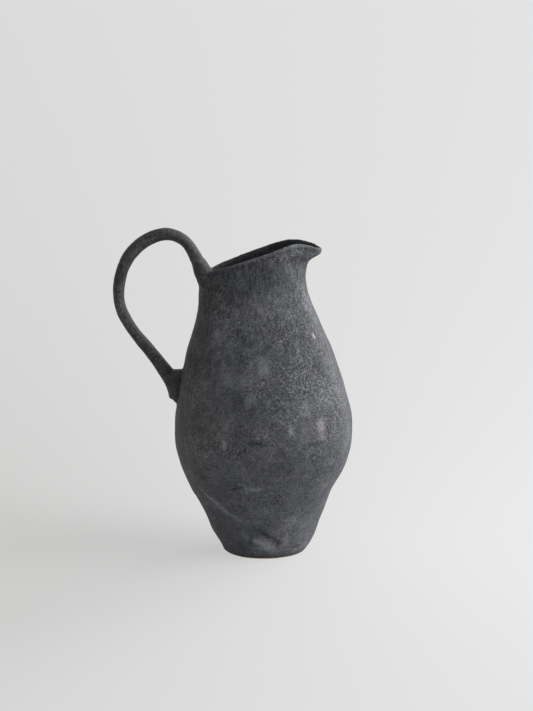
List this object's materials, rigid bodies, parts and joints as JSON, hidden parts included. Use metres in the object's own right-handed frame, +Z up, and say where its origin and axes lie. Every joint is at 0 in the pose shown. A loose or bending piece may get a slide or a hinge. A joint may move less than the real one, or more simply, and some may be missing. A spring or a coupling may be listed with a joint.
{
  "type": "oinochoe jug",
  "caption": "Tall hand-built stoneware jug with a swelling body, narrow foot, squeezed oval mouth with a pouring beak, and a high arched handle from rim to shoulder.",
  "frame": {"origin": "centre of the flat round foot, on the surface that the jug stands on", "axes": "+X towards the pouring beak, -X towards the handle, +Z up, +Y to the jug's far side when the beak points right"},
  "size_m": [0.2174, 0.1628, 0.2978],
  "materials": {
    "black_stoneware": "matte charcoal stoneware with a dry, pitted skin",
    "raw_foot": "matte charcoal stoneware, bare brown clay under the foot",
    "inside_clay": "matte near-black rough inside"
  },
  "bodies": {
    "root": {"foot_slab": "raw_foot", "floor_coil": "inside_clay", "foot_course": "black_stoneware", "lower_course": "black_stoneware", "turn_course": "black_stoneware", "belly_course": "black_stoneware", "crown_course": "black_stoneware", "shoulder_course": "black_stoneware", "upper_course": "black_stoneware", "neck_course": "black_stoneware", "mouth_collar": "black_stoneware", "pouring_lip": "black_stoneware", "handle": "black_stoneware", "upper_luting": "black_stoneware", "lower_luting": "black_stoneware"}
  },
  "joints": []
}
